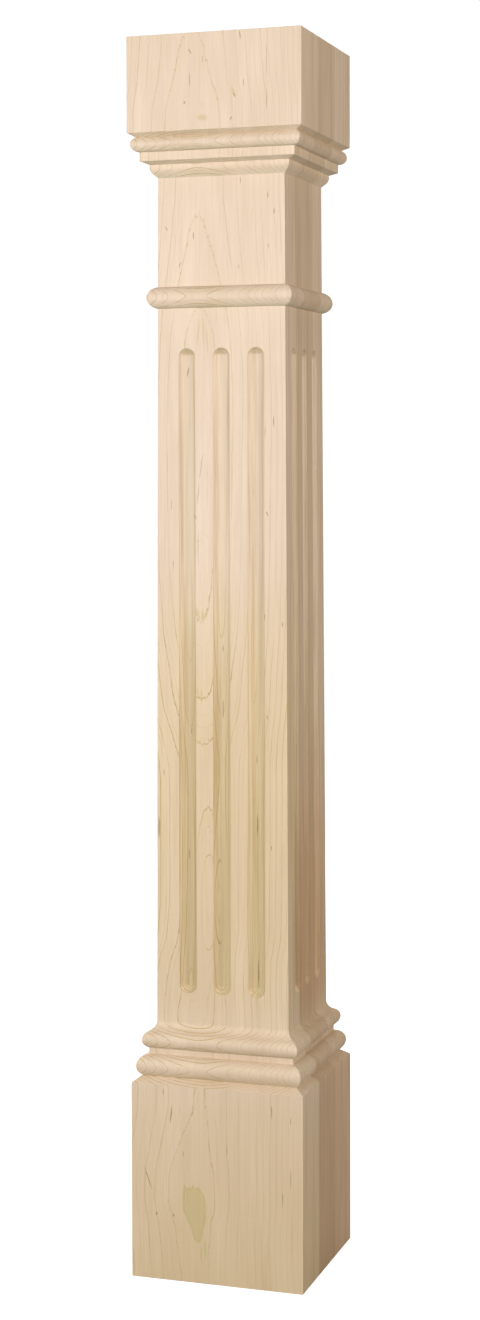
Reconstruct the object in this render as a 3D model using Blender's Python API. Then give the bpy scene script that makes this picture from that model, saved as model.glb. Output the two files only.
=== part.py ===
"""Square fluted cabinet column in maple, carved from one solid blank.

Metres, +Z up. The origin is the middle of the underside and the front face looks along -Y.
Every level of the column is a square. Its outline, from the floor up, is a plinth, a base
moulding, a shaft that narrows towards its head, an astragal, a plain neck, a cap moulding
and a square cap block. Each face of the shaft has stopped flutes.
"""

import math

import bmesh
import bpy
from mathutils import Matrix, Vector

INCH = 0.0254
EIGHTH_TURN = math.radians(45.0)

# Blocks
COLUMN_HEIGHT = 34.5 * INCH
PLINTH_WIDTH = 5.0 * INCH
PLINTH_HEIGHT = 5.5 * INCH
CAP_WIDTH = 5.0 * INCH
CAP_HEIGHT = 2.625 * INCH

# Shaft, measured across its faces, and the plain neck above the astragal
SHAFT_FOOT_WIDTH = 0.0980
SHAFT_HEAD_WIDTH = 0.0929
NECK_HEIGHT = 3.0 * INCH

# Base moulding, upwards: chamfer, torus, fillet, nose and cove. A reach is how far a member
# stands out from the foot of the shaft.
BASE_CHAMFER_RISE = 0.0043
TORUS_RADIUS = 0.0081
TORUS_REACH = 0.0120
TORUS_LOWER_ANGLE = math.radians(60.0)
FILLET_REACH = 0.0045
FILLET_HEIGHT = 0.0041
NOSE_RADIUS = 0.0064
NOSE_REACH = 0.0087
COVE_RADIUS = 0.00785

# Astragal, a bead around the shaft
ASTRAGAL_RADIUS = 0.0077
ASTRAGAL_REACH = 0.0064

# Cap moulding, upwards: splay, ovolo, soffit, fascia, bead and chamfer. The fascia's reach is
# measured from the head of the shaft.
SPLAY_RISE = 0.0028
OVOLO_RADIUS = 0.0063
OVOLO_UPPER_ANGLE = math.radians(15.0)
SOFFIT_RISE = 0.0023
FASCIA_REACH = 0.01005
FASCIA_HEIGHT = 0.0061
BEAD_RADIUS = 0.0053
BEAD_UPPER_ANGLE = math.radians(68.0)
CAP_CHAMFER_RISE = 0.0027

# Flutes. The round-nosed cut is a little deeper, and so wider, at the foot of the shaft. The gaps
# are the plain lengths of face between a flute's ends and the cove below it and the astragal above.
FLUTES_PER_FACE = 3
FLUTE_SPACING = 1.0 * INCH
FLUTE_NOSE_RADIUS = 0.00675
FLUTE_FOOT_DEPTH = 0.0048
FLUTE_HEAD_DEPTH = 0.0039
FLUTE_FOOT_GAP = 0.0209
FLUTE_HEAD_GAP = 0.0280

# Facets, and the distance within which two corners are one
ARC_STEP = math.radians(9.0)
FLUTE_SIDES = 32
SHARP_ANGLE = math.radians(30.0)
SAME_PLACE = 0.000001

# Looks
MAPLE_COLOUR = (0.75, 0.60, 0.42, 1.0)
MAPLE_ROUGHNESS = 0.6


def arc(centre, radius, start, end):
    """Points of (half width, height) on an arc; angle 0 points outwards and a quarter turn points up."""
    steps = max(2, math.ceil(abs(end - start) / ARC_STEP))
    angles = [start + (end - start) * i / steps for i in range(steps + 1)]
    return [(centre[0] + radius * math.cos(a), centre[1] + radius * math.sin(a)) for a in angles]


def base_outline():
    """The plinth and the base moulding, up to where the cove runs into the shaft."""
    foot = SHAFT_FOOT_WIDTH / 2
    fillet = foot + FILLET_REACH
    points = [(PLINTH_WIDTH / 2, 0.0), (PLINTH_WIDTH / 2, PLINTH_HEIGHT)]

    torus_half = foot + TORUS_REACH - TORUS_RADIUS
    torus_height = PLINTH_HEIGHT + BASE_CHAMFER_RISE + TORUS_RADIUS * math.sin(TORUS_LOWER_ANGLE)
    torus_end = math.acos((fillet - torus_half) / TORUS_RADIUS)
    points += arc((torus_half, torus_height), TORUS_RADIUS, -TORUS_LOWER_ANGLE, torus_end)

    nose_half = foot + NOSE_REACH - NOSE_RADIUS
    nose_end = math.acos((fillet - nose_half) / NOSE_RADIUS)
    nose_height = points[-1][1] + FILLET_HEIGHT + NOSE_RADIUS * math.sin(nose_end)
    points += arc((nose_half, nose_height), NOSE_RADIUS, -nose_end, nose_end)

    cove_start = math.acos((FILLET_REACH - COVE_RADIUS) / COVE_RADIUS)
    cove_height = points[-1][1] + COVE_RADIUS * math.sin(cove_start)
    points += arc((foot + COVE_RADIUS, cove_height), COVE_RADIUS, -cove_start, -math.pi)[1:]
    return points


def cap_outline():
    """The cap moulding and the cap block, from the head of the shaft up."""
    head = SHAFT_HEAD_WIDTH / 2
    fascia = head + FASCIA_REACH
    block_foot = COLUMN_HEIGHT - CAP_HEIGHT
    bead_height = block_foot - CAP_CHAMFER_RISE - BEAD_RADIUS * math.sin(BEAD_UPPER_ANGLE)
    fascia_foot = bead_height - BEAD_RADIUS - FASCIA_HEIGHT
    ovolo_half = head + SPLAY_RISE - OVOLO_RADIUS * math.cos(EIGHTH_TURN)
    ovolo_height = fascia_foot - SOFFIT_RISE - OVOLO_RADIUS * math.sin(OVOLO_UPPER_ANGLE)
    ovolo = arc((ovolo_half, ovolo_height), OVOLO_RADIUS, -EIGHTH_TURN, OVOLO_UPPER_ANGLE)
    points = [(head, ovolo[0][1] - SPLAY_RISE)] + ovolo
    points.append((fascia, fascia_foot))
    points += arc((fascia, bead_height), BEAD_RADIUS, -math.pi / 2, BEAD_UPPER_ANGLE)
    points += [(CAP_WIDTH / 2, block_foot), (CAP_WIDTH / 2, COLUMN_HEIGHT)]
    return points


def astragal_outline(foot_point, head_point):
    """The bead around the shaft, a neck's height under the head of the shaft."""
    bead_end = math.acos(1.0 - ASTRAGAL_REACH / ASTRAGAL_RADIUS)
    height = head_point[1] - NECK_HEIGHT - ASTRAGAL_RADIUS * math.sin(bead_end)
    share = (height - foot_point[1]) / (head_point[1] - foot_point[1])
    face = foot_point[0] + (head_point[0] - foot_point[0]) * share
    centre = (face + ASTRAGAL_REACH - ASTRAGAL_RADIUS, height)
    return arc(centre, ASTRAGAL_RADIUS, -bead_end, bead_end)


def square_tower(outline):
    """A closed mesh that is a square of the outline's half width at each of its heights."""
    bm = bmesh.new()
    half, height = outline[0]
    floor = Matrix.Translation((0, 0, height))
    bmesh.ops.create_grid(bm, x_segments=1, y_segments=1, size=half, matrix=floor)
    ring = list(bm.edges)
    for next_half, next_height in outline[1:]:
        grown = bmesh.ops.extrude_edge_only(bm, edges=ring)["geom"]
        corners = [part for part in grown if isinstance(part, bmesh.types.BMVert)]
        ring = [part for part in grown if isinstance(part, bmesh.types.BMEdge)]
        bmesh.ops.translate(bm, verts=corners, vec=(0, 0, next_height - height))
        bmesh.ops.scale(bm, verts=corners, vec=(next_half / half, next_half / half, 1))
        half, height = next_half, next_height
    bmesh.ops.edgeloop_fill(bm, edges=ring)
    bmesh.ops.recalc_face_normals(bm, faces=bm.faces)
    return bm


def flute_cut(face_foot, face_head):
    """One rod with round ends, lying along the front face from foot to head, at the middle of the face."""
    ends = []
    for depth, stop, inwards in (
        (FLUTE_FOOT_DEPTH, face_foot[1] + FLUTE_FOOT_GAP, 1),
        (FLUTE_HEAD_DEPTH, face_head[1] - FLUTE_HEAD_GAP, -1),
    ):
        half_width = math.sqrt(depth * (2 * FLUTE_NOSE_RADIUS - depth))
        level = stop + inwards * half_width
        share = (level - face_foot[1]) / (face_head[1] - face_foot[1])
        face = face_foot[0] + (face_head[0] - face_foot[0]) * share
        ends.append(Vector((0.0, -(face + FLUTE_NOSE_RADIUS - depth), level)))
    length = (ends[1] - ends[0]).length
    side = arc((0, 0), FLUTE_NOSE_RADIUS, -math.pi / 2, 0)
    side += arc((0, length), FLUTE_NOSE_RADIUS, 0, math.pi / 2)
    bm = bmesh.new()
    points = [bm.verts.new((out, 0, up)) for out, up in side]
    rib = [bm.edges.new(pair) for pair in zip(points, points[1:])]
    bmesh.ops.spin(
        bm, geom=points + rib, axis=(0, 0, 1), angle=2 * math.pi, steps=FLUTE_SIDES, use_merge=True
    )
    bmesh.ops.remove_doubles(bm, verts=bm.verts, dist=SAME_PLACE)
    bmesh.ops.recalc_face_normals(bm, faces=bm.faces)
    lean = Vector((0, 0, 1)).rotation_difference(ends[1] - ends[0]).to_matrix().to_4x4()
    bm.transform(Matrix.Translation(ends[0]) @ lean)
    return bm


def all_flute_cuts(face_foot, face_head):
    """The cuts of all four faces in one mesh."""
    one = bpy.data.meshes.new("flute_cut")
    bm = flute_cut(face_foot, face_head)
    bm.to_mesh(one)
    bm.free()
    middle = (FLUTES_PER_FACE - 1) / 2
    cuts = bmesh.new()
    for quarter in range(4):
        turn = Matrix.Rotation(quarter * math.pi / 2, 4, "Z")
        for index in range(FLUTES_PER_FACE):
            known = len(cuts.verts)
            cuts.from_mesh(one)
            cuts.verts.ensure_lookup_table()
            shift = Matrix.Translation(((index - middle) * FLUTE_SPACING, 0, 0))
            bmesh.ops.transform(cuts, matrix=turn @ shift, verts=cuts.verts[known:])
    bpy.data.meshes.remove(one)
    return cuts


def add_object(name, bm):
    """A smooth-shaded object made from the bmesh."""
    mesh = bpy.data.meshes.new(name)
    bm.to_mesh(mesh)
    bm.free()
    mesh.shade_smooth()
    obj = bpy.data.objects.new(name, mesh)
    bpy.context.scene.collection.objects.link(obj)
    return obj


def maple():
    """Bare sanded maple."""
    material = bpy.data.materials.new("maple")
    material.use_nodes = True
    shader = material.node_tree.nodes["Principled BSDF"]
    shader.inputs["Base Color"].default_value = MAPLE_COLOUR
    shader.inputs["Roughness"].default_value = MAPLE_ROUGHNESS
    shader.inputs["Metallic"].default_value = 0.0
    return material


def build():
    """The column, with its flutes cut out of the four faces of the shaft."""
    for obj in list(bpy.data.objects):
        bpy.data.objects.remove(obj)
    base = base_outline()
    cap = cap_outline()
    astragal = astragal_outline(base[-1], cap[0])
    column = add_object("column", square_tower(base + astragal + cap))
    column.data.materials.append(maple())

    cutter = add_object("flute_cutter", all_flute_cuts(base[-1], astragal[0]))
    cutter.hide_render = True
    cutter.display_type = "WIRE"
    carve = column.modifiers.new("flutes", "BOOLEAN")
    carve.operation = "DIFFERENCE"
    carve.object = cutter
    carve.solver = "EXACT"

    carved = column.evaluated_get(bpy.context.evaluated_depsgraph_get())
    column.data = bpy.data.meshes.new_from_object(carved)
    column.modifiers.clear()
    column.data.shade_smooth()
    column.data.set_sharp_from_angle(angle=SHARP_ANGLE)


build()
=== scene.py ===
"""Square fluted cabinet column in bare maple, standing on a white studio floor.

Metres, +Z up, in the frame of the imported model. Patterns in the wood are laid out in millimetres.
"""

import math

import bmesh
import bpy
from mathutils import Matrix, Vector


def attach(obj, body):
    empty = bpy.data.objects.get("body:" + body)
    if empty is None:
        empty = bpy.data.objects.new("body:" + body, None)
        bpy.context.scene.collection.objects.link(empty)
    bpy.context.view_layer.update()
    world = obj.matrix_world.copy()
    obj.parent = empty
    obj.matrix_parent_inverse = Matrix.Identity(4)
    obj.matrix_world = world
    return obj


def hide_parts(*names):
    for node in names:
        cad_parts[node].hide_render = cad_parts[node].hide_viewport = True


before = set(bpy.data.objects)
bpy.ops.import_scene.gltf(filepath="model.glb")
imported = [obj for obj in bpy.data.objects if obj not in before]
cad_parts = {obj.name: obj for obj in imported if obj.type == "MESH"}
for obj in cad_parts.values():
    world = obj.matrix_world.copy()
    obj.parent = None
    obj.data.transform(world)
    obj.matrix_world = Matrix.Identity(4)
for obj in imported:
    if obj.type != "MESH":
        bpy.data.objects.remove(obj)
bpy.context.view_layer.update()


# The column is carved from one square blank of hard maple, glued up from three boards. The
# mouldings are run along all four sides of it with shaped cutters and meet in mitred corners,
# and every sharp edge is taken off with fine sandpaper. It stands on its plinth.

INCH = 0.0254
COLUMN_HEIGHT = 34.5 * INCH
PLINTH_WIDTH = 5.0 * INCH
PLINTH_HEIGHT = 5.5 * INCH
CAP_WIDTH = 5.0 * INCH
CAP_HEIGHT = 2.625 * INCH
SHAFT_FOOT_WIDTH = 0.0980
SHAFT_HEAD_WIDTH = 0.0929
NECK_HEIGHT = 3.0 * INCH

BASE_CHAMFER_RISE = 0.0043
TORUS_RADIUS = 0.0081
TORUS_REACH = 0.0120
TORUS_LOWER_ANGLE = math.radians(60.0)
FILLET_REACH = 0.0045
FILLET_HEIGHT = 0.0041
NOSE_RADIUS = 0.0064
NOSE_REACH = 0.0087
COVE_RADIUS = 0.00785

ASTRAGAL_RADIUS = 0.0077
ASTRAGAL_REACH = 0.0064

SPLAY_RISE = 0.0028
OVOLO_RADIUS = 0.0063
OVOLO_LOWER_ANGLE = math.radians(45.0)
OVOLO_UPPER_ANGLE = math.radians(15.0)
SOFFIT_RISE = 0.0023
FASCIA_REACH = 0.01005
FASCIA_HEIGHT = 0.0061
BEAD_RADIUS = 0.0053
BEAD_UPPER_ANGLE = math.radians(68.0)
CAP_CHAMFER_RISE = 0.0027

ARC_STEP = math.radians(4.0)
EASED_EDGE = 0.0004
EASED_EDGE_STEPS = 3
EASED_FROM_ANGLE = math.radians(20.0)
LARGEST_CUT_BACK = 0.4
SHARP_ANGLE = math.radians(32.0)


def arc(centre, radius, start, end):
    """Points of (half width, height) on an arc; angle 0 points outwards and a quarter turn points up."""
    steps = max(2, math.ceil(abs(end - start) / ARC_STEP))
    angles = [start + (end - start) * i / steps for i in range(steps + 1)]
    return [(centre[0] + radius * math.cos(a), centre[1] + radius * math.sin(a)) for a in angles]


def base_outline():
    """The plinth and the base moulding, up to where the cove runs into the shaft."""
    foot = SHAFT_FOOT_WIDTH / 2
    fillet = foot + FILLET_REACH
    points = [(PLINTH_WIDTH / 2, 0.0), (PLINTH_WIDTH / 2, PLINTH_HEIGHT)]

    torus_half = foot + TORUS_REACH - TORUS_RADIUS
    torus_height = PLINTH_HEIGHT + BASE_CHAMFER_RISE + TORUS_RADIUS * math.sin(TORUS_LOWER_ANGLE)
    torus_end = math.acos((fillet - torus_half) / TORUS_RADIUS)
    points += arc((torus_half, torus_height), TORUS_RADIUS, -TORUS_LOWER_ANGLE, torus_end)

    nose_half = foot + NOSE_REACH - NOSE_RADIUS
    nose_end = math.acos((fillet - nose_half) / NOSE_RADIUS)
    nose_height = points[-1][1] + FILLET_HEIGHT + NOSE_RADIUS * math.sin(nose_end)
    points += arc((nose_half, nose_height), NOSE_RADIUS, -nose_end, nose_end)

    cove_start = math.acos((FILLET_REACH - COVE_RADIUS) / COVE_RADIUS)
    cove_height = points[-1][1] + COVE_RADIUS * math.sin(cove_start)
    points += arc((foot + COVE_RADIUS, cove_height), COVE_RADIUS, -cove_start, -math.pi)[1:]
    return points


def cap_outline():
    """The cap moulding and the cap block, from the head of the shaft up."""
    head = SHAFT_HEAD_WIDTH / 2
    fascia = head + FASCIA_REACH
    block_foot = COLUMN_HEIGHT - CAP_HEIGHT
    bead_height = block_foot - CAP_CHAMFER_RISE - BEAD_RADIUS * math.sin(BEAD_UPPER_ANGLE)
    fascia_foot = bead_height - BEAD_RADIUS - FASCIA_HEIGHT
    ovolo_half = head + SPLAY_RISE - OVOLO_RADIUS * math.cos(OVOLO_LOWER_ANGLE)
    ovolo_height = fascia_foot - SOFFIT_RISE - OVOLO_RADIUS * math.sin(OVOLO_UPPER_ANGLE)
    ovolo = arc((ovolo_half, ovolo_height), OVOLO_RADIUS, -OVOLO_LOWER_ANGLE, OVOLO_UPPER_ANGLE)
    points = [(head, ovolo[0][1] - SPLAY_RISE)] + ovolo
    points.append((fascia, fascia_foot))
    points += arc((fascia, bead_height), BEAD_RADIUS, -math.pi / 2, BEAD_UPPER_ANGLE)
    points += [(CAP_WIDTH / 2, block_foot), (CAP_WIDTH / 2, COLUMN_HEIGHT)]
    return points


def astragal_outline(foot_point, head_point):
    """The bead around the shaft, a neck's height under the head of the shaft."""
    bead_end = math.acos(1.0 - ASTRAGAL_REACH / ASTRAGAL_RADIUS)
    height = head_point[1] - NECK_HEIGHT - ASTRAGAL_RADIUS * math.sin(bead_end)
    share = (height - foot_point[1]) / (head_point[1] - foot_point[1])
    face = foot_point[0] + (head_point[0] - foot_point[0]) * share
    centre = (face + ASTRAGAL_REACH - ASTRAGAL_RADIUS, height)
    return arc(centre, ASTRAGAL_RADIUS, -bead_end, bead_end)


def eased(outline):
    """The outline with its outward corners sanded round. It starts and ends on the axis."""
    points = [Vector(point) for point in [(0.0, outline[0][1]), *outline, (0.0, outline[-1][1])]]
    softer = []
    for before, corner, after in zip(points, points[1:], points[2:]):
        arriving = corner - before
        leaving = after - corner
        turn = arriving.angle_signed(leaving)
        if turn > -EASED_FROM_ANGLE:
            softer.append(corner)
            continue
        cut_back = EASED_EDGE * math.tan(-turn / 2)
        cut_back = min(cut_back, LARGEST_CUT_BACK * arriving.length, LARGEST_CUT_BACK * leaving.length)
        first = corner - arriving.normalized() * cut_back
        last = corner + leaving.normalized() * cut_back
        for step in range(EASED_EDGE_STEPS + 1):
            share = step / EASED_EDGE_STEPS
            softer.append(first.lerp(corner, share).lerp(corner.lerp(last, share), share))
    return softer


def square_tower(outline):
    """A closed mesh that is a square of the outline's half width at each of its heights."""
    bm = bmesh.new()
    half, height = outline[0]
    floor = Matrix.Translation((0, 0, height))
    bmesh.ops.create_grid(bm, x_segments=1, y_segments=1, size=half, matrix=floor)
    bmesh.ops.bevel(
        bm,
        geom=bm.verts[:],
        offset=EASED_EDGE,
        segments=EASED_EDGE_STEPS,
        profile=0.5,
        affect="VERTICES",
        material=-1,
    )
    ring = list(bm.edges)
    for next_half, next_height in outline[1:]:
        grown = bmesh.ops.extrude_edge_only(bm, edges=ring)["geom"]
        corners = [part for part in grown if isinstance(part, bmesh.types.BMVert)]
        ring = [part for part in grown if isinstance(part, bmesh.types.BMEdge)]
        bmesh.ops.translate(bm, verts=corners, vec=(0, 0, next_height - height))
        bmesh.ops.scale(bm, verts=corners, vec=(next_half / half, next_half / half, 1))
        half, height = next_half, next_height
    bmesh.ops.edgeloop_fill(bm, edges=ring)
    bmesh.ops.recalc_face_normals(bm, faces=bm.faces)
    return bm


def add_object(name, bm):
    """A smooth-shaded object made from the bmesh."""
    mesh = bpy.data.meshes.new(name)
    bm.to_mesh(mesh)
    bm.free()
    mesh.shade_smooth()
    obj = bpy.data.objects.new(name, mesh)
    bpy.context.scene.collection.objects.link(obj)
    return obj


base = base_outline()
cap = cap_outline()
astragal = astragal_outline(base[-1], cap[0])
column = add_object("maple_column", square_tower(eased(base + astragal + cap)))


# The flutes are three stopped grooves in each face of the shaft, cut with a round-nosed bit that
# is lowered in at one end and lifted out at the other. The bit runs level, and the shaft
# narrows, so a flute is a little deeper and wider at its foot.

FLUTES_PER_FACE = 3
FLUTE_SPACING = 1.0 * INCH
FLUTE_NOSE_RADIUS = 0.00675
FLUTE_FOOT_DEPTH = 0.0048
FLUTE_HEAD_DEPTH = 0.0039
FLUTE_FOOT_GAP = 0.0209
FLUTE_HEAD_GAP = 0.0280
FLUTE_SIDES = 88
SAME_PLACE = 0.000001


def flute_cut(face_foot, face_head):
    """One rod with round ends, lying up the middle of the front face from foot to head."""
    ends = []
    for depth, stop, inwards in (
        (FLUTE_FOOT_DEPTH, face_foot[1] + FLUTE_FOOT_GAP, 1),
        (FLUTE_HEAD_DEPTH, face_head[1] - FLUTE_HEAD_GAP, -1),
    ):
        half_width = math.sqrt(depth * (2 * FLUTE_NOSE_RADIUS - depth))
        level = stop + inwards * half_width
        share = (level - face_foot[1]) / (face_head[1] - face_foot[1])
        face = face_foot[0] + (face_head[0] - face_foot[0]) * share
        ends.append(Vector((0.0, -(face + FLUTE_NOSE_RADIUS - depth), level)))
    length = (ends[1] - ends[0]).length
    side = arc((0, 0), FLUTE_NOSE_RADIUS, -math.pi / 2, 0)
    side += arc((0, length), FLUTE_NOSE_RADIUS, 0, math.pi / 2)
    bm = bmesh.new()
    points = [bm.verts.new((out, 0, up)) for out, up in side]
    rib = [bm.edges.new(pair) for pair in zip(points, points[1:])]
    bmesh.ops.spin(
        bm, geom=points + rib, axis=(0, 0, 1), angle=2 * math.pi, steps=FLUTE_SIDES, use_merge=True
    )
    bmesh.ops.remove_doubles(bm, verts=bm.verts, dist=SAME_PLACE)
    bmesh.ops.recalc_face_normals(bm, faces=bm.faces)
    lean = Vector((0, 0, 1)).rotation_difference(ends[1] - ends[0]).to_matrix().to_4x4()
    bm.transform(Matrix.Translation(ends[0]) @ lean)
    return bm


def all_flute_cuts(face_foot, face_head):
    """The cuts of all four faces in one mesh."""
    one = bpy.data.meshes.new("flute_cut")
    bm = flute_cut(face_foot, face_head)
    bm.to_mesh(one)
    bm.free()
    middle = (FLUTES_PER_FACE - 1) / 2
    cuts = bmesh.new()
    for quarter in range(4):
        turn = Matrix.Rotation(quarter * math.pi / 2, 4, "Z")
        for index in range(FLUTES_PER_FACE):
            known = len(cuts.verts)
            cuts.from_mesh(one)
            cuts.verts.ensure_lookup_table()
            shift = Matrix.Translation(((index - middle) * FLUTE_SPACING, 0, 0))
            bmesh.ops.transform(cuts, matrix=turn @ shift, verts=cuts.verts[known:])
    bpy.data.meshes.remove(one)
    return cuts


cutter = add_object("flute_cutter", all_flute_cuts(base[-1], astragal[0]))
carve = column.modifiers.new("flutes", "BOOLEAN")
carve.operation = "DIFFERENCE"
carve.object = cutter
carve.solver = "EXACT"
carved = column.evaluated_get(bpy.context.evaluated_depsgraph_get())
column.data = bpy.data.meshes.new_from_object(carved)
column.modifiers.clear()
bpy.data.objects.remove(cutter)

column.data.shade_smooth()
column.data.set_sharp_from_angle(angle=SHARP_ANGLE)
flatten = column.modifiers.new("flat faces stay flat", "WEIGHTED_NORMAL")
flatten.keep_sharp = True
weighted = column.evaluated_get(bpy.context.evaluated_depsgraph_get())
column.data = bpy.data.meshes.new_from_object(weighted)
column.modifiers.clear()


# The maple is bare and finely sanded. Its growth rings are modelled through the whole blank, so the
# figure runs on from the faces into the mouldings, the flutes and the end grain. Each of the
# three boards has its own heart, and they meet in two thin glue lines.

MILLIMETRES = 1000.0
TALL = COLUMN_HEIGHT * MILLIMETRES
BOARD_THICKNESS = PLINTH_WIDTH * MILLIMETRES / 3
RING_WIDTH = 2.4
LINE_HALF_WIDTH = 0.40
SHARP_LINE_SHARE = 0.3
RING_WANDER = 0.9
RING_RAGGEDNESS = 0.36
FINER_LINES = 3.0
THINNEST_CROSSING = 0.004
GLUE_LINE = 0.15
SAWN_DEPTH = 0.2
ANY_DEPTH = 1000000.0
SOFT_RIM = 1.25

# The sizes of the patches in each kind of figure: across, deep and along the grain.
WANDER_SIZE = (26.0, 26.0, 80.0)
RAGGED_SIZE = (1.3, 1.3, 12.0)
FADING_SIZE = (5.0, 5.0, 45.0)
FIBRE_SIZE = (0.35, 0.35, 14.0)
STREAK_SIZE = (1.0, 1.0, 60.0)
THREAD_SIZE = (2.4, 2.4, 130.0)
BAND_SIZE = (7.0, 7.0, 90.0)
PATCH_SIZE = (30.0, 30.0, 110.0)
RAY_SIZE = (0.25, 0.25, 2.4)
PORE_SIZE = (0.30, 0.30, 3.0)
STAIN_EDGE_SIZE = (1.3, 1.3, 7.0)
LEAF_SPIKE_SIZE = (1.8, 1.8, 40.0)

CREAM = (0.795, 0.636, 0.478, 1.0)
PALE_CREAM = (0.840, 0.686, 0.528, 1.0)
STRAW = (0.735, 0.580, 0.355, 1.0)
TAN = (0.600, 0.445, 0.295, 1.0)
LINE_COLOUR = (0.510, 0.372, 0.130, 1.0)
STAIN_COLOUR = (0.540, 0.450, 0.150, 1.0)
FLECK_COLOUR = (0.270, 0.140, 0.030, 1.0)
GLUE_COLOUR = (0.400, 0.270, 0.150, 1.0)

# These colours multiply the wood. The front board is a little cooler and the middle one browner.
# Towards the foot the front board turns yellower and the two behind it browner. The flutes are pale
# at the head and olive at the foot; near their rims they are lightened with a painted highlight, and
# their round heads are darkened with painted shade. A cut across the grain is duller, most of all on
# the sawn ends, and the undersides of the mouldings are made paler with painted light.
FRONT_BOARD = (0.985, 0.980, 1.000, 1.0)
MIDDLE_BOARD = (0.885, 0.857, 0.808, 1.0)
YELLOW_FOOT = (0.960, 0.930, 0.765, 1.0)
BROWN_FOOT = (0.870, 0.757, 0.635, 1.0)
# Painted highlight on the flute walls near their rims.
FLUTE_RIM_HIGHLIGHT = (1.010, 1.035, 1.040, 1.0)
FLUTE_HEAD = (1.020, 1.050, 1.020, 1.0)
FLUTE_FOOT = (0.905, 0.920, 0.810, 1.0)
# Painted shade for the down-facing round heads of the flutes.
FLUTE_HEAD_PAINTED_SHADE = (0.820, 0.800, 0.700, 1.0)
CROSS_CUT = (0.970, 0.975, 1.000, 1.0)
# Painted light that makes down-facing surfaces paler, as if lit from below.
UNDERSIDE_PAINTED_LIGHT = (1.060, 1.120, 1.110, 1.0)
SAWN_END = (0.860, 0.800, 0.730, 1.0)


def add_node(tree, kind, **settings):
    """A new node with its settings."""
    made = tree.nodes.new(kind)
    for name, value in settings.items():
        setattr(made, name, value)
    return made


def feed(tree, socket, source):
    """Links a source to a socket, or sets the socket to a plain value."""
    if isinstance(source, bpy.types.NodeSocket):
        tree.links.new(source, socket)
    elif source is not None:
        socket.default_value = source


def calculate(tree, operation, first, second=None, third=None, clamp=False):
    """The result of one Math node."""
    made = add_node(tree, "ShaderNodeMath", operation=operation, use_clamp=clamp)
    for socket, source in zip(made.inputs, (first, second, third)):
        feed(tree, socket, source)
    return made.outputs[0]


def dot(tree, first, second):
    """The dot product of two vectors."""
    made = add_node(tree, "ShaderNodeVectorMath", operation="DOT_PRODUCT")
    feed(tree, made.inputs[0], first)
    feed(tree, made.inputs[1], second)
    return made.outputs["Value"]


def vector(tree, x, y, z):
    """A vector made from three values."""
    made = add_node(tree, "ShaderNodeCombineXYZ")
    for socket, source in zip(made.inputs, (x, y, z)):
        feed(tree, socket, source)
    return made.outputs[0]


def parts_of(tree, source):
    """The three values of a vector."""
    made = add_node(tree, "ShaderNodeSeparateXYZ")
    feed(tree, made.inputs[0], source)
    return list(made.outputs)


def fade(tree, value, start, end, low=0.0, high=1.0):
    """A smooth change from low to high while the value goes from start to end."""
    made = add_node(tree, "ShaderNodeMapRange", interpolation_type="SMOOTHSTEP")
    for name, source in (
        ("Value", value),
        ("From Min", start),
        ("From Max", end),
        ("To Min", low),
        ("To Max", high),
    ):
        feed(tree, made.inputs[name], source)
    return made.outputs["Result"]


def cloud(tree, place, size, shift=0.0, detail=2.0):
    """Soft noise from 0 to 1 whose patches have about the given size in each direction."""
    mapping = add_node(tree, "ShaderNodeMapping", vector_type="POINT")
    feed(tree, mapping.inputs["Vector"], place)
    mapping.inputs["Location"].default_value = (shift, 1.7 * shift, 0.6 * shift)
    mapping.inputs["Scale"].default_value = [1.0 / length for length in size]
    noise = add_node(tree, "ShaderNodeTexNoise", noise_dimensions="3D")
    feed(tree, noise.inputs["Vector"], mapping.outputs[0])
    noise.inputs["Scale"].default_value = 1.0
    noise.inputs["Detail"].default_value = detail
    return noise.outputs["Fac"]


def blend(tree, share, first, second, how="MIX"):
    """The first colour, changed towards the second by the share."""
    made = add_node(tree, "ShaderNodeMix", data_type="RGBA", blend_type=how)
    feed(tree, made.inputs[0], share)
    feed(tree, made.inputs[6], first)
    feed(tree, made.inputs[7], second)
    return made.outputs[2]


def one_of(tree, share, first, second):
    """The first value, changed towards the second by the share."""
    made = add_node(tree, "ShaderNodeMix", data_type="FLOAT")
    feed(tree, made.inputs[0], share)
    feed(tree, made.inputs[2], first)
    feed(tree, made.inputs[3], second)
    return made.outputs[0]


def add_group(name, inputs, outputs):
    """An empty node group, with the sockets of its input and output nodes."""
    tree = bpy.data.node_groups.new(name, "ShaderNodeTree")
    for socket_name, kind in inputs:
        tree.interface.new_socket(socket_name, in_out="INPUT", socket_type=kind)
    for socket_name, kind in outputs:
        tree.interface.new_socket(socket_name, in_out="OUTPUT", socket_type=kind)
    given = add_node(tree, "NodeGroupInput").outputs
    result = add_node(tree, "NodeGroupOutput").inputs
    return tree, given, result


def dice(tree, number, seed):
    """A value from 0 to 1 that is the same for the same whole number and seed."""
    made = add_node(tree, "ShaderNodeTexWhiteNoise", noise_dimensions="1D")
    feed(tree, made.inputs["W"], calculate(tree, "ADD", number, seed))
    return made.outputs["Value"]


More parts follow.
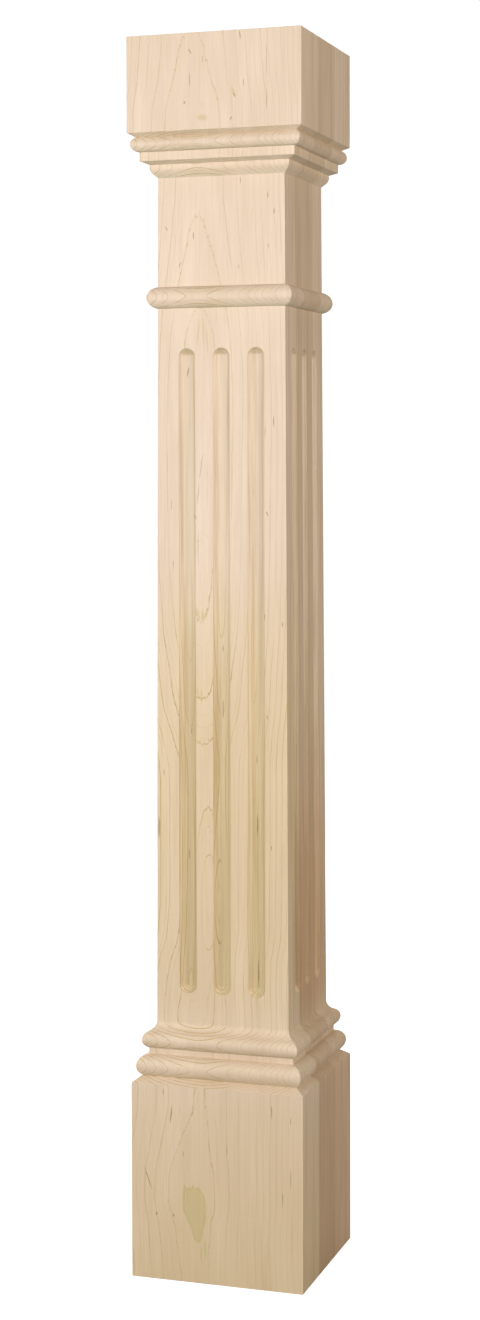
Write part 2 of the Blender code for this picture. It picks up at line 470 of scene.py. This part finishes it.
def growth_rings():
    """The growth rings of one board around its heart: thin dark lines, soft late wood, and a tone.

    A surface that slides along the rings would smear their lines, so they are made thinner there.
    """
    tree, given, result = add_group(
        "growth rings",
        [
            ("Place", "NodeSocketVector"),
            ("Facing", "NodeSocketVector"),
            ("Heart Across", "NodeSocketFloat"),
            ("Heart Deep", "NodeSocketFloat"),
            ("Drift", "NodeSocketFloat"),
            ("Slope", "NodeSocketFloat"),
            ("Seed", "NodeSocketFloat"),
        ],
        [("Line", "NodeSocketFloat"), ("Late Wood", "NodeSocketFloat"), ("Tone", "NodeSocketFloat")],
    )
    across, deep, height = parts_of(tree, given["Place"])
    across = calculate(tree, "SUBTRACT", across, given["Heart Across"])
    deep = calculate(tree, "SUBTRACT", deep, given["Heart Deep"])
    across_squared = calculate(tree, "MULTIPLY", across, across)
    distance = calculate(tree, "SQRT", calculate(tree, "MULTIPLY_ADD", deep, deep, across_squared))
    outwards = vector(
        tree,
        calculate(tree, "DIVIDE", across, distance),
        calculate(tree, "DIVIDE", deep, distance),
        given["Slope"],
    )
    straight_in = dot(tree, outwards, given["Facing"])
    straight_in = calculate(tree, "MULTIPLY", straight_in, straight_in)
    crossing = calculate(tree, "SUBTRACT", dot(tree, outwards, outwards), straight_in)
    crossing = calculate(tree, "SQRT", calculate(tree, "MAXIMUM", crossing, THINNEST_CROSSING))
    half_width = calculate(tree, "MULTIPLY", crossing, LINE_HALF_WIDTH)
    sharp_width = calculate(tree, "MULTIPLY", half_width, SHARP_LINE_SHARE)

    wander = calculate(tree, "SUBTRACT", cloud(tree, given["Place"], WANDER_SIZE, 3.1, 1.0), 0.5)
    ragged = calculate(tree, "SUBTRACT", cloud(tree, given["Place"], RAGGED_SIZE, 9.4, 2.0), 0.5)
    distance = calculate(tree, "ADD", distance, given["Drift"])
    distance = calculate(tree, "MULTIPLY_ADD", wander, RING_WANDER, distance)
    distance = calculate(tree, "MULTIPLY_ADD", ragged, RING_RAGGEDNESS, distance)

    ring = calculate(tree, "DIVIDE", distance, RING_WIDTH)
    nearest = calculate(tree, "ROUND", ring)
    offset = calculate(tree, "MULTIPLY", calculate(tree, "SUBTRACT", ring, nearest), RING_WIDTH)
    gap = calculate(tree, "ABSOLUTE", offset)
    luck = dice(tree, nearest, given["Seed"])
    come_and_go = fade(tree, cloud(tree, given["Place"], FADING_SIZE, 17.0, 1.0), 0.3, 0.6, 0.45)
    strength = calculate(tree, "MULTIPLY_ADD", calculate(tree, "MULTIPLY", luck, luck), 0.60, 0.40)
    strength = calculate(tree, "MULTIPLY", strength, come_and_go)
    line = calculate(tree, "MULTIPLY", fade(tree, gap, half_width, sharp_width), strength)

    finer = calculate(tree, "MULTIPLY", ring, FINER_LINES)
    near_finer = calculate(tree, "ROUND", finer)
    finer_gap = calculate(tree, "ABSOLUTE", calculate(tree, "SUBTRACT", finer, near_finer))
    finer_gap = calculate(tree, "MULTIPLY", finer_gap, RING_WIDTH / FINER_LINES)
    faint = fade(tree, finer_gap, half_width, sharp_width)
    faint = calculate(tree, "MULTIPLY", faint, dice(tree, near_finer, given["Seed"]))
    faint = calculate(tree, "MULTIPLY", faint, come_and_go)
    feed(tree, result["Line"], calculate(tree, "MULTIPLY_ADD", faint, 0.28, line, clamp=True))

    late = calculate(tree, "MULTIPLY", fade(tree, offset, -1.0, 0.0), fade(tree, offset, 0.12, 0.0))
    feed(tree, result["Late Wood"], calculate(tree, "MULTIPLY", late, strength))
    feed(tree, result["Tone"], dice(tree, calculate(tree, "FLOOR", ring), given["Seed"]))
    return tree


def along_height(tree, height, knots, low, high, top=TALL):
    """A value between low and high that follows the (height, value) knots, up to the top."""
    made = add_node(tree, "ShaderNodeFloatCurve")
    feed(tree, made.inputs["Value"], calculate(tree, "DIVIDE", height, top))
    curve = made.mapping.curves[0]
    places = [(level / top, (value - low) / (high - low)) for level, value in knots]
    curve.points[0].location = places[0]
    curve.points[-1].location = places[-1]
    for spot in places[1:-1]:
        curve.points.new(*spot)
    for point in curve.points:
        point.handle_type = "AUTO_CLAMPED"
    made.mapping.update()
    return calculate(tree, "MULTIPLY_ADD", made.outputs[0], high - low, low)


def marks(tree, place, listed):
    """How deep the point lies in the nearest listed mark on a face: 0 outside, up to 1 in its middle.

    Each mark is (across, height, length, width, lean), in millimetres and in degrees to the right.
    """
    deepest = 0.0
    for across, height, length, width, lean in listed:
        mapping = add_node(tree, "ShaderNodeMapping", vector_type="TEXTURE")
        feed(tree, mapping.inputs["Vector"], place)
        mapping.inputs["Location"].default_value = (across, 0.0, height)
        mapping.inputs["Rotation"].default_value = (0.0, math.radians(lean), 0.0)
        mapping.inputs["Scale"].default_value = (SOFT_RIM * width / 2, ANY_DEPTH, SOFT_RIM * length / 2)
        ball = add_node(tree, "ShaderNodeTexGradient", gradient_type="SPHERICAL")
        feed(tree, ball.inputs["Vector"], mapping.outputs[0])
        deepest = calculate(tree, "MAXIMUM", deepest, ball.outputs["Fac"])
    return deepest


# Where the heart of the front board lies across its width, and how far its rings have drifted in
# or out, at heights read along the front face. A swelling in the rings makes the long lens.
HEART_ACROSS = [
    (0, -16), (60, -18), (100, -16.5), (140, -14.5), (190, -20.5), (225, -19), (260, -14),
    (340, -13), (400, -15), (480, -16), (TALL, -15),
]
RING_DRIFT = [
    (0, -0.55), (27, -0.75), (45, -1.1), (62, -1.65), (100, -0.75), (142, -0.1), (183, -0.9),
    (203, -0.45), (225, 0.25), (240, 0.8), (300, 1.5), (355, 1.6), (380, 0.8), (412, -1.45),
    (435, -2.2), (473, -3.6), (540, -4.2), (600, -4.2), (661, -3.4), (682, -2.7), (703, -1.8),
    (751, 0.0), (779, 0.5), (812, 0.2), (843, 1.4), (TALL, 2.3),
]
FRONT_HEART_DEEP = 33.0
FIRST_RING = 79.6
FIRST_RING_NUMBER = 100
FRONT_SEED = 452.0
LENS_PLACE = (-9.0, 0.0, 270.0)
LENS_REACH = (9.5, ANY_DEPTH, 51.0)
LENS_SWELLING = 5.4
SLOPE_STEP = 2.0

# The growth lines are boldest around this height and fainter away from it.
BOLDEST_HEIGHT = 330.0
BOLD_REACH = 90.0
FAINT_REACH = 170.0

# How much of the foot's colour the front board, and the two behind it, take at each height.
YELLOWING = [
    (0, 1.0), (60, 0.85), (120, 0.60), (165, 0.30), (205, 0.72), (320, 0.82), (450, 0.55), (560, 0.0),
    (TALL, 0.1),
]
BROWNING = [
    (0, 0.9), (125, 0.8), (165, 0.35), (205, 1.0), (260, 0.95), (350, 0.5), (450, 0.1), (TALL, 0.0),
]


def front_drift(tree, across, height):
    """How far the rings of the front board have drifted at this place."""
    drift = along_height(tree, height, RING_DRIFT, -6.0, 6.0)
    lens = add_node(tree, "ShaderNodeMapping", vector_type="TEXTURE")
    feed(tree, lens.inputs["Vector"], vector(tree, across, 0.0, height))
    lens.inputs["Location"].default_value = LENS_PLACE
    lens.inputs["Scale"].default_value = LENS_REACH
    gap = dot(tree, lens.outputs[0], lens.outputs[0])
    swell = calculate(tree, "EXPONENT", calculate(tree, "MULTIPLY", gap, -1.0))
    return calculate(tree, "MULTIPLY_ADD", swell, -LENS_SWELLING, drift)


# Short dark flecks, where the cutters met bark specks and tiny knots, on the cap block and neck,
# down the shaft, and on the plinth.
FLECKS = [
    (-16.2, 863.5, 4.5, 1.1, -32), (-7.0, 857.7, 6, 0.6, 0), (-16.5, 844, 12, 0.6, 0),
    (-20.3, 828.5, 2.5, 1.0, 0), (15.8, 832, 4, 0.8, -25), (13.5, 816, 3, 1.0, 25),
    (20.2, 872.7, 6, 1.0, -10), (22.7, 840, 6, 0.6, 0), (39.3, 856, 26, 0.5, 0),
    (39.3, 828, 16, 0.5, 0), (-39.8, 744, 4, 1.0, -25), (-29.8, 718.5, 5, 0.8, 12),
    (-19.8, 738.5, 6, 0.7, 0), (14.8, 776, 6, 0.6, 0), (34.7, 765, 5, 0.7, 0),
    (39.3, 753.5, 5, 0.6, 0), (35.2, 730, 4, 0.6, 0), (13.5, 716, 4, 0.6, 0),
    (-25.3, 643.8, 8, 1.1, 12), (38.8, 608, 9, 0.6, 2), (32.7, 600.8, 8, 0.5, 2),
    (-14.4, 577, 19, 0.5, 8), (-16.5, 558.5, 18, 0.5, 5), (-19.3, 541.7, 4, 1.4, -30),
    (-16.7, 520, 28, 0.4, 0), (34.0, 544, 4, 1.0, -20), (32.2, 471.7, 6, 0.7, 0),
    (45.2, 466.7, 4, 0.7, 0), (-36.5, 550, 8, 0.6, 0), (-35.3, 508, 7, 0.6, 0),
    (0.2, 449, 6, 0.7, 0), (0.2, 406, 15, 0.7, 0), (25.2, 371, 7, 0.7, 0),
    (25.5, 325, 18, 1.1, 0), (26.0, 220, 22, 1.3, 0), (-23.2, 390, 5, 0.8, 0),
    (-25.3, 302, 8, 0.8, 0), (-42.7, 360, 6, 0.7, 0), (33.8, 401.7, 4, 0.8, 0),
    (36.8, 309.7, 4, 0.8, 0), (-46.5, 321, 17, 1.6, 0), (-33.0, 119.5, 14, 1.1, 5),
    (-44.3, 47, 3, 1.2, 0), (-31.5, 47, 3, 1.2, 0), (-39.0, 135, 5, 0.9, 0),
    (-24.0, 91.7, 5, 0.7, 0), (8.5, 97, 7, 0.6, 0), (41.3, 126.7, 11, 0.7, 0),
    (55.2, 121.7, 5, 0.7, 0), (55.2, 81, 15, 0.6, 0), (49.3, 65.8, 11, 0.6, 0),
    (-50.5, 72, 18, 0.9, -20),
]

# Dark threads on the right-hand face, in the flutes and beside them.
RIGHT_FLECKS = [
    (-27.5, 630, 46, 0.9, 0), (-24.3, 585, 70, 0.8, 0), (-4.1, 501, 50, 1.0, 0),
    (-29.4, 386, 50, 0.9, 0), (-24.3, 335, 13, 1.2, 0), (-23.3, 251, 10, 0.9, 0),
    (-32.0, 253, 5, 0.8, 0), (-0.8, 342, 6, 1.0, 0), (-1.0, 278, 19, 1.0, 0),
    (-1.0, 246, 5, 1.0, 0), (-28.6, 658, 5, 1.2, 20), (-2.0, 207, 5, 1.4, 0),
    (14.0, 742, 18, 0.7, 0), (-9.0, 95, 30, 0.7, 0),
]

# Soft olive stains in the wood: a flame under the astragal, a smudge and a speck on the cap block,
# a streak down the right flute, two under the leaf-shaped stain, two ragged arcs beside the left
# flute, and two streaks on the right side.
STAINS = [
    (-16.4, 670, 22, 1.8, 5), (-12.6, 671, 30, 1.6, -2), (-10.0, 665, 26, 1.3, -5),
    (-7.3, 817.7, 5, 9, 0), (15.5, 834, 8, 3.0, -25), (25.6, 300, 120, 2.6, 0), (26.0, 214, 44, 2.4, 0),
    (-7.8, 24.5, 14, 2.6, -3), (-10.9, 21.5, 16, 1.5, 0), (-17.2, 474, 11, 2.4, -15),
    (-13.6, 471.5, 11, 2.6, 0), (-10.4, 474, 11, 2.2, 15), (-17.3, 418, 9, 2.2, -15),
    (-14.6, 415, 10, 2.4, 0),
]
RIGHT_STAINS = [(28.5, 642, 32, 3.4, 0), (26.0, 500, 90, 3.0, 0)]

# The leaf-shaped stain on the plinth: its left and right edges at each height.
LEAF_FOOT = 28.8
LEAF_TOP = 69.0
LEAF_LEFT = [
    (LEAF_FOOT, -14.0), (31.6, -16.9), (37.7, -18.8), (47.1, -23.0), (55.0, -25.3),
    (LEAF_TOP, -24.6),
]
LEAF_RIGHT = [
    (LEAF_FOOT, -12.8), (31.3, -10.9), (38.6, -9.5), (43.3, -8.0), (52.2, -7.5), (61.1, -8.0),
    (66.2, -11.2), (LEAF_TOP, -12.5),
]

# The stains and flecks end this far from the middle of the column, and are full this far out.
MARKS_END = 36.0
MARKS_FULL = 40.0

GRAIN_DEPTH = 0.0001
GRAIN_STRENGTH = 0.25


maple = bpy.data.materials.new("bare maple")
maple.use_nodes = True
tree = maple.node_tree
shader = tree.nodes["Principled BSDF"]
coordinates = add_node(tree, "ShaderNodeTexCoord")
scaled = add_node(tree, "ShaderNodeVectorMath", operation="SCALE")
feed(tree, scaled.inputs[0], coordinates.outputs["Object"])
scaled.inputs["Scale"].default_value = MILLIMETRES
place = scaled.outputs[0]
facing = coordinates.outputs["Normal"]
across, deep, height = parts_of(tree, place)

heart_across = along_height(tree, height, HEART_ACROSS, -24.0, -8.0)
higher = front_drift(tree, across, calculate(tree, "ADD", height, SLOPE_STEP))
lower = front_drift(tree, across, calculate(tree, "SUBTRACT", height, SLOPE_STEP))
slope = calculate(tree, "DIVIDE", calculate(tree, "SUBTRACT", higher, lower), 2 * SLOPE_STEP)
first_ring = FIRST_RING_NUMBER * RING_WIDTH - FIRST_RING
drift = calculate(tree, "MULTIPLY_ADD", calculate(tree, "ADD", higher, lower), 0.5, first_ring)

rings = growth_rings()
boards = []
for heart_x, heart_y, ring_drift, ring_slope, seed in (
    (heart_across, FRONT_HEART_DEEP, drift, slope, FRONT_SEED),
    (-70.0, 62.0, 400.0, 0.0, 143.0),
    (-35.0, -48.0, 600.0, 0.0, 377.0),
):
    board = add_node(tree, "ShaderNodeGroup", node_tree=rings)
    feed(tree, board.inputs["Place"], place)
    feed(tree, board.inputs["Facing"], facing)
    feed(tree, board.inputs["Heart Across"], heart_x)
    feed(tree, board.inputs["Heart Deep"], heart_y)
    feed(tree, board.inputs["Drift"], ring_drift)
    feed(tree, board.inputs["Slope"], ring_slope)
    board.inputs["Seed"].default_value = seed
    boards.append(board)

behind_first = calculate(tree, "GREATER_THAN", deep, -BOARD_THICKNESS / 2)
behind_second = calculate(tree, "GREATER_THAN", deep, BOARD_THICKNESS / 2)
picked = []
for name in ("Line", "Late Wood", "Tone"):
    front, middle, rear = [board.outputs[name] for board in boards]
    picked.append(one_of(tree, behind_second, one_of(tree, behind_first, front, middle), rear))
line, late_wood, ring_tone = picked

# How deep a point lies below the face of the shaft tells the flutes from the faces between them.
face = add_node(tree, "ShaderNodeMapRange")
feed(tree, face.inputs["Value"], height)
face.inputs["From Min"].default_value = base[-1][1] * MILLIMETRES
face.inputs["From Max"].default_value = cap[0][1] * MILLIMETRES
face.inputs["To Min"].default_value = base[-1][0] * MILLIMETRES
face.inputs["To Max"].default_value = cap[0][0] * MILLIMETRES
off_middle = calculate(tree, "ABSOLUTE", across)
off_centre = calculate(tree, "ABSOLUTE", deep)
outermost = calculate(tree, "MAXIMUM", off_middle, off_centre)
sunk = calculate(tree, "SUBTRACT", face.outputs["Result"], outermost)
above_base = calculate(tree, "GREATER_THAN", height, base[-1][1] * MILLIMETRES)
below_cap = calculate(tree, "LESS_THAN", height, cap[0][1] * MILLIMETRES)
on_shaft = calculate(tree, "MULTIPLY", above_base, below_cap)
in_flute = calculate(tree, "MULTIPLY", fade(tree, sunk, 0.2, 2.4), on_shaft)

fibres = cloud(tree, place, FIBRE_SIZE, 21.0, 3.0)
streaks = cloud(tree, place, STREAK_SIZE, 34.0, 3.0)
bands = cloud(tree, place, BAND_SIZE, 88.0, 2.0)
patches = cloud(tree, place, PATCH_SIZE, 55.0, 2.0)
rays = fade(tree, cloud(tree, place, RAY_SIZE, 63.0, 0.0), 0.62, 0.74)

colour = blend(tree, fade(tree, patches, 0.35, 0.7), CREAM, PALE_CREAM)
colour = blend(tree, calculate(tree, "MULTIPLY", ring_tone, 0.08), colour, TAN)

# Bands, streaks and threads run along the grain. The right and left faces, which show the edges
# of the rings, have more of them, and so have the flutes.
facing_parts = parts_of(tree, facing)
facing_up = facing_parts[2]
sideways = calculate(tree, "ABSOLUTE", facing_parts[0])
tilt = calculate(tree, "ABSOLUTE", facing_up)
band_share = calculate(tree, "MULTIPLY_ADD", sideways, 0.24, 0.16)
streak_share = calculate(tree, "MULTIPLY_ADD", sideways, 0.24, 0.22)
colour = blend(tree, fade(tree, bands, 0.45, 0.75, 0.0, band_share), colour, TAN)
colour = blend(tree, fade(tree, streaks, 0.42, 0.75, 0.0, streak_share), colour, TAN)
threads = cloud(tree, place, THREAD_SIZE, 41.0, 2.0)
thread_share = calculate(tree, "MULTIPLY_ADD", in_flute, 0.50, 0.45)
thread_share = calculate(tree, "MULTIPLY", thread_share, sideways)
thread_share = calculate(tree, "MULTIPLY_ADD", in_flute, 0.16, thread_share)
dark_threads = fade(tree, threads, 0.50, 0.66, 0.0, thread_share)
pale_threads = fade(tree, threads, 0.48, 0.34, 0.0, thread_share)
colour = blend(tree, dark_threads, colour, TAN)
colour = blend(tree, pale_threads, colour, PALE_CREAM)
colour = blend(tree, calculate(tree, "MULTIPLY", late_wood, 0.26), colour, STRAW)

# The growth lines are fainter on the right of the heart, at the left edge and in the flutes, and
# bolder on the mouldings, where the cut runs across the grain.
from_boldest = calculate(tree, "ABSOLUTE", calculate(tree, "SUBTRACT", height, BOLDEST_HEIGHT))
boldness = fade(tree, from_boldest, BOLD_REACH, FAINT_REACH, 1.45, 0.72)
for share in (
    fade(tree, across, -6.0, 14.0, 1.0, 0.45),
    fade(tree, across, -36.0, -20.0, 0.75, 1.0),
    calculate(tree, "MULTIPLY_ADD", in_flute, -0.4, 1.0),
    fade(tree, tilt, 0.03, 0.40, 1.0, 1.7),
):
    boldness = calculate(tree, "MULTIPLY", boldness, share)
line = calculate(tree, "MULTIPLY", line, boldness, clamp=True)
colour = blend(tree, line, colour, LINE_COLOUR)
colour = blend(tree, fade(tree, fibres, 0.45, 0.75, 0.0, 0.16), colour, TAN)
colour = blend(tree, calculate(tree, "MULTIPLY", rays, 0.12), colour, TAN)

# The boards' own colours, the glue lines between them, the darker foot, the cuts across the grain
# with their open pores, and painted light that makes the undersides paler.
middle_board = calculate(tree, "SUBTRACT", behind_first, behind_second)
front_board = calculate(tree, "SUBTRACT", 1.0, behind_first)
colour = blend(tree, front_board, colour, FRONT_BOARD, "MULTIPLY")
colour = blend(tree, middle_board, colour, MIDDLE_BOARD, "MULTIPLY")
glue_gap = calculate(tree, "SUBTRACT", calculate(tree, "ABSOLUTE", deep), BOARD_THICKNESS / 2)
glue = fade(tree, calculate(tree, "ABSOLUTE", glue_gap), GLUE_LINE, GLUE_LINE / 3, 0.0, 0.5)
colour = blend(tree, glue, colour, GLUE_COLOUR)
yellowing = calculate(tree, "MULTIPLY", along_height(tree, height, YELLOWING, 0.0, 1.0), front_board)
colour = blend(tree, yellowing, colour, YELLOW_FOOT, "MULTIPLY")
browning = calculate(tree, "MULTIPLY", along_height(tree, height, BROWNING, 0.0, 1.0), behind_first)
colour = blend(tree, browning, colour, BROWN_FOOT, "MULTIPLY")
colour = blend(tree, fade(tree, tilt, 0.45, 0.90), colour, CROSS_CUT, "MULTIPLY")
# Painted light: surfaces facing down are made paler, as if lit from below.
underside_painted_light = fade(tree, facing_up, -0.40, -0.80)
colour = blend(tree, underside_painted_light, colour, UNDERSIDE_PAINTED_LIGHT, "MULTIPLY")
middle_gap = calculate(tree, "ABSOLUTE", calculate(tree, "SUBTRACT", height, TALL / 2))
sawn = calculate(tree, "GREATER_THAN", middle_gap, TALL / 2 - SAWN_DEPTH)
sawn = calculate(tree, "MULTIPLY", sawn, calculate(tree, "GREATER_THAN", tilt, 0.9))
colour = blend(tree, sawn, colour, SAWN_END, "MULTIPLY")
pores = fade(tree, cloud(tree, place, PORE_SIZE, 12.0, 1.0), 0.58, 0.70)
pore_share = calculate(tree, "MULTIPLY_ADD", sawn, 0.20, fade(tree, tilt, 0.15, 0.70, 0.0, 0.20))
colour = blend(tree, calculate(tree, "MULTIPLY", pores, pore_share), colour, TAN)

# Inside the flutes the wood is pale at the head and olive towards the foot. Their round heads,
# which face down, are darkened with painted shade.
flute_tint_and_rim_highlight = blend(tree, fade(tree, height, 210.0, 600.0), FLUTE_FOOT, FLUTE_HEAD)
# Near their rims the flute walls get a painted highlight, blending into the wood's own flute tint deeper
# in.
flute_tint_and_rim_highlight = blend(tree, fade(tree, sunk, 1.2, 3.8), FLUTE_RIM_HIGHLIGHT, flute_tint_and_rim_highlight)
flute_share = calculate(tree, "MULTIPLY", fade(tree, sunk, 0.05, 0.4), on_shaft)
colour = blend(tree, flute_share, colour, flute_tint_and_rim_highlight, "MULTIPLY")
# Painted shade: the down-facing surfaces inside the flutes, their round heads, are darkened.
facing_down = fade(tree, facing_up, -0.10, -0.70)
flute_head_painted_shade = calculate(tree, "MULTIPLY", facing_down, sunk, clamp=True)
flute_head_painted_shade = calculate(tree, "MULTIPLY", flute_head_painted_shade, on_shaft)
colour = blend(tree, flute_head_painted_shade, colour, FLUTE_HEAD_PAINTED_SHADE, "MULTIPLY")

# Stains and flecks lie in the outer wood of the front and the right side, with ragged edges.
ragged = cloud(tree, place, STAIN_EDGE_SIZE, 71.0, 2.0)
on_front = vector(tree, calculate(tree, "MULTIPLY_ADD", ragged, 1.0, across), 0.0, height)
on_right = vector(tree, calculate(tree, "MULTIPLY_ADD", ragged, 1.0, deep), 0.0, height)
near_front = fade(tree, deep, -MARKS_END, -MARKS_FULL)
behind_front = fade(tree, deep, -MARKS_FULL, -MARKS_END)
near_right = calculate(tree, "MULTIPLY", fade(tree, across, MARKS_END, MARKS_FULL), behind_front)
for around, stains, outer_wood in ((on_front, STAINS, near_front), (on_right, RIGHT_STAINS, near_right)):
    stain = fade(tree, marks(tree, around, stains), 0.0, 0.76, 0.0, 0.45)
    stain = calculate(tree, "MULTIPLY", stain, outer_wood)
    colour = blend(tree, stain, colour, STAIN_COLOUR)

# The leaf-shaped stain has a ragged edge, a darker rim and a spiky top.
rough_across = calculate(tree, "MULTIPLY_ADD", ragged, 1.6, calculate(tree, "SUBTRACT", across, 0.8))
left_edge = along_height(tree, height, LEAF_LEFT, -30.0, 0.0, 100.0)
right_edge = along_height(tree, height, LEAF_RIGHT, -30.0, 0.0, 100.0)
inwards = calculate(
    tree,
    "MINIMUM",
    calculate(tree, "SUBTRACT", rough_across, left_edge),
    calculate(tree, "SUBTRACT", right_edge, rough_across),
)
spikes = cloud(tree, place, LEAF_SPIKE_SIZE, 5.0, 1.0)
rough_height = calculate(tree, "MULTIPLY_ADD", spikes, -7.0, calculate(tree, "ADD", height, 3.5))
below_top = calculate(tree, "SUBTRACT", LEAF_TOP, rough_height)
above_foot = calculate(tree, "SUBTRACT", height, LEAF_FOOT)
inwards = calculate(tree, "MINIMUM", inwards, calculate(tree, "MINIMUM", below_top, above_foot))
leaf = fade(tree, inwards, -0.5, 0.9, 0.0, 0.50)
rim = fade(tree, inwards, 2.6, 0.4, 1.0, 1.45)
leaf = calculate(tree, "MULTIPLY", calculate(tree, "MULTIPLY", leaf, rim), near_front)
leaf = calculate(tree, "MULTIPLY", leaf, fade(tree, streaks, 0.35, 0.65, 0.72, 1.05))
colour = blend(tree, leaf, colour, STAIN_COLOUR)

for around, flecks, outer_wood in ((on_front, FLECKS, near_front), (on_right, RIGHT_FLECKS, near_right)):
    fleck = fade(tree, marks(tree, around, flecks), 0.05, 0.60, 0.0, 0.62)
    fleck = calculate(tree, "MULTIPLY", fleck, outer_wood)
    colour = blend(tree, fleck, colour, FLECK_COLOUR)

feed(tree, shader.inputs["Base Color"], colour)
feed(tree, shader.inputs["Roughness"], fade(tree, fibres, 0.3, 0.8, 0.50, 0.64))
bump = add_node(tree, "ShaderNodeBump")
bump.inputs["Strength"].default_value = GRAIN_STRENGTH
bump.inputs["Distance"].default_value = GRAIN_DEPTH
feed(tree, bump.inputs["Height"], fibres)
feed(tree, shader.inputs["Normal"], bump.outputs[0])
column.data.materials.clear()
column.data.materials.append(maple)

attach(column, "root")
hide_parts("column")


# The studio is a pale paper floor in a white room. Two soft lamps stand in front of the column, a
# warmer one on its right, one behind it for the far sides, and one hangs above. The camera stands
# where the photograph was taken from.

FLOOR_SIZE = 6.0
PALE_GREY = (0.30, 0.30, 0.30, 1.0)
WHITE = (1.0, 1.0, 1.0, 1.0)
FLOOR_GLOW = 1.0
ROOM_GLOW = 1.05
ROOM_LIGHT = 0.06

floor_mesh = bmesh.new()
bmesh.ops.create_grid(floor_mesh, x_segments=1, y_segments=1, size=FLOOR_SIZE)
floor = add_object("floor", floor_mesh)
paper = bpy.data.materials.new("pale paper")
paper.use_nodes = True
tree = paper.node_tree
shader = tree.nodes["Principled BSDF"]
shader.inputs["Base Color"].default_value = PALE_GREY
shader.inputs["Roughness"].default_value = 0.9
shader.inputs["Specular IOR Level"].default_value = 0.1
shader.inputs["Emission Color"].default_value = WHITE
seen = add_node(tree, "ShaderNodeLightPath").outputs["Is Camera Ray"]
feed(tree, shader.inputs["Emission Strength"], calculate(tree, "MULTIPLY", seen, FLOOR_GLOW))
floor.data.materials.append(paper)

world = bpy.data.worlds.new("white room")
world.use_nodes = True
tree = world.node_tree
background = tree.nodes["Background"]
background.inputs["Color"].default_value = WHITE
seen = add_node(tree, "ShaderNodeLightPath").outputs["Is Camera Ray"]
feed(tree, background.inputs["Strength"], one_of(tree, seen, ROOM_LIGHT, ROOM_GLOW))
bpy.context.scene.world = world
bpy.context.scene.view_settings.view_transform = "Standard"

LAMP_TARGET = Vector((0.0, 0.0, 0.6))
DAYLIGHT = (1.0, 1.0, 1.0)
WARM = (1.0, 0.93, 0.85)


def add_lamp(name, place, size, power, colour):
    """A square soft lamp that faces the middle of the column."""
    lamp = bpy.data.lights.new(name, "AREA")
    lamp.size = size
    lamp.energy = power
    lamp.color = colour
    obj = bpy.data.objects.new(name, lamp)
    obj.location = place
    obj.rotation_euler = (LAMP_TARGET - Vector(place)).to_track_quat("-Z", "Y").to_euler()
    bpy.context.scene.collection.objects.link(obj)


add_lamp("key lamp", (-0.2, -1.4, 0.76), 0.8, 8.9, DAYLIGHT)
add_lamp("left lamp", (-0.7, -1.3, 0.74), 0.8, 7.8, DAYLIGHT)
add_lamp("right lamp", (1.48, -0.65, 0.9), 1.0, 17.6, WARM)
add_lamp("back lamp", (-1.0, 1.4, 0.9), 1.2, 28.0, DAYLIGHT)
add_lamp("top lamp", (0.0, 0.3, 2.6), 1.5, 11.0, DAYLIGHT)

CAMERA_PLACE = Vector((0.51148, -1.60221, 0.57705))
CAMERA_TURN = -0.32095
CAMERA_PITCH = -0.04660
CAMERA_ROLL = -0.00323
FOCAL_PIXELS = 2334.27
SENSOR_WIDTH = 36.0
IMAGE_WIDTH = 480
IMAGE_HEIGHT = 1320
AXIS_POINT = (214.25, 575.27)

ahead = Vector(
    (
        math.sin(CAMERA_TURN) * math.cos(CAMERA_PITCH),
        math.cos(CAMERA_TURN) * math.cos(CAMERA_PITCH),
        math.sin(CAMERA_PITCH),
    )
)
level_right = Vector((math.cos(CAMERA_TURN), -math.sin(CAMERA_TURN), 0.0))
level_up = level_right.cross(ahead)
right = level_right * math.cos(CAMERA_ROLL) + level_up * math.sin(CAMERA_ROLL)
up = level_up * math.cos(CAMERA_ROLL) - level_right * math.sin(CAMERA_ROLL)
camera_data = bpy.data.cameras.new("camera")
camera_data.sensor_width = SENSOR_WIDTH
camera_data.lens = SENSOR_WIDTH * FOCAL_PIXELS / IMAGE_HEIGHT
camera_data.shift_x = (IMAGE_WIDTH / 2 - AXIS_POINT[0]) / IMAGE_HEIGHT
camera_data.shift_y = (AXIS_POINT[1] - IMAGE_HEIGHT / 2) / IMAGE_HEIGHT
camera = bpy.data.objects.new("camera", camera_data)
turn = Matrix((right, up, -ahead)).transposed().to_4x4()
camera.matrix_world = Matrix.Translation(CAMERA_PLACE) @ turn
bpy.context.scene.collection.objects.link(camera)
bpy.context.scene.camera = camera
